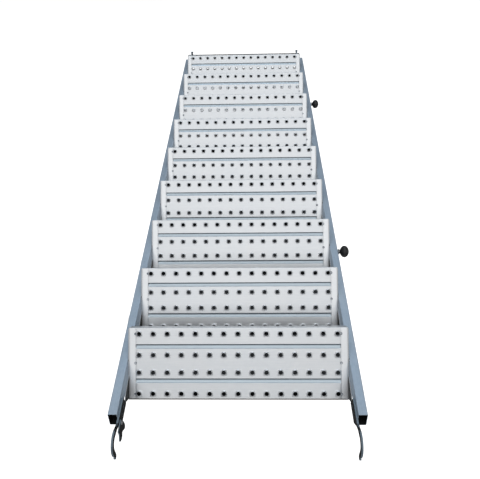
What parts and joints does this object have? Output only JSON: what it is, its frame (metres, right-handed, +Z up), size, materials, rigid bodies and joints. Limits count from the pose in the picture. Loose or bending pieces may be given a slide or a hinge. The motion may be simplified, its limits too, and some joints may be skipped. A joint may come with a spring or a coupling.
{
  "type": "scaffold stair flight",
  "caption": "Steel scaffold stair flight: box stringers, perforated plank treads, claw hooks at both ends and hand-rail clamp screws.",
  "frame": {"origin": "middle of the upper ledger tube's axis, in the seats of the two top hooks", "axes": "+Z up with the treads level, +X towards the right-hand stringer, which carries the clamp screws, and -Y the way the stair climbs"},
  "size_m": [0.865, 2.093, 2.0927],
  "materials": {
    "zinc_tube": "dull galvanised tube",
    "zinc_sheet": "bright galvanised sheet",
    "dark_plate": "dark satin paint, worn light at the edges",
    "bright_steel": "zinc-plated",
    "black_plastic": "satin moulded plastic"
  },
  "bodies": {
    "stair_flight": {"stringer_left": "zinc_tube", "stringer_right": "zinc_tube", "tread_1": "zinc_sheet", "tread_2": "zinc_sheet", "tread_3": "zinc_sheet", "tread_4": "zinc_sheet", "tread_5": "zinc_sheet", "tread_6": "zinc_sheet", "tread_7": "zinc_sheet", "tread_8": "zinc_sheet", "tread_9": "zinc_sheet", "tread_1_bracket_left": "dark_plate", "tread_1_bracket_right": "dark_plate", "tread_2_bracket_left": "dark_plate", "tread_2_bracket_right": "dark_plate", "tread_3_bracket_left": "dark_plate", "tread_3_bracket_right": "dark_plate", "tread_4_bracket_left": "dark_plate", "tread_4_bracket_right": "dark_plate", "tread_5_bracket_left": "dark_plate", "tread_5_bracket_right": "dark_plate", "tread_6_bracket_left": "dark_plate", "tread_6_bracket_right": "dark_plate", "tread_7_bracket_left": "dark_plate", "tread_7_bracket_right": "dark_plate", "tread_8_bracket_left": "dark_plate", "tread_8_bracket_right": "dark_plate", "tread_9_bracket_left": "dark_plate", "tread_9_bracket_right": "dark_plate", "top_hook_left": "dark_plate", "top_hook_right": "dark_plate", "top_hook_rivet_left_1": "bright_steel", "top_hook_rivet_left_2": "bright_steel", "top_hook_rivet_right_1": "bright_steel", "top_hook_rivet_right_2": "bright_steel", "bottom_hook_left": "dark_plate", "bottom_hook_right": "dark_plate", "bottom_hook_rivet_left_1": "bright_steel", "bottom_hook_rivet_left_2": "bright_steel", "bottom_hook_rivet_right_1": "bright_steel", "bottom_hook_rivet_right_2": "bright_steel", "latch_pivot": "bright_steel", "rail_clamp_insert_upper": "bright_steel", "rail_clamp_insert_lower": "bright_steel"},
    "latch": {"latch": "dark_plate"},
    "washer_upper": {"rail_clamp_washer_upper": "bright_steel"},
    "knob_upper": {"rail_clamp_stud_upper": "bright_steel", "rail_clamp_knob_upper": "black_plastic"},
    "washer_lower": {"rail_clamp_washer_lower": "bright_steel"},
    "knob_lower": {"rail_clamp_stud_lower": "bright_steel", "rail_clamp_knob_lower": "black_plastic"}
  },
  "joints": [
    {"name": "latch_swing", "type": "hinge", "parent": "stair_flight", "child": "latch", "pos_m": [-0.3669, 0.0449, -0.04278], "axis": [1, 0, 0], "range_deg": [0, 30]},
    {"name": "washer_slide_upper", "type": "slide", "parent": "stair_flight", "child": "washer_upper", "axis": [1, 0, 0], "range_m": [-0.00392, 0]},
    {"name": "knob_turn_upper", "type": "hinge", "parent": "washer_upper", "child": "knob_upper", "pos_m": [0.4118, 0.58725, -0.57382], "axis": [1, 0, 0], "range_deg": [-810, 0]},
    {"name": "washer_slide_lower", "type": "slide", "parent": "stair_flight", "child": "washer_lower", "axis": [1, 0, 0], "range_m": [-0.00392, 0]},
    {"name": "knob_turn_lower", "type": "hinge", "parent": "washer_lower", "child": "knob_lower", "pos_m": [0.4118, 1.49588, -1.48245], "axis": [1, 0, 0], "range_deg": [-810, 0]}
  ],
  "couplings": [
    {"joint": "knob_turn_upper", "follows": "washer_slide_upper", "rad_per_m": 3590.4},
    {"joint": "knob_turn_lower", "follows": "washer_slide_lower", "rad_per_m": 3590.4}
  ]
}
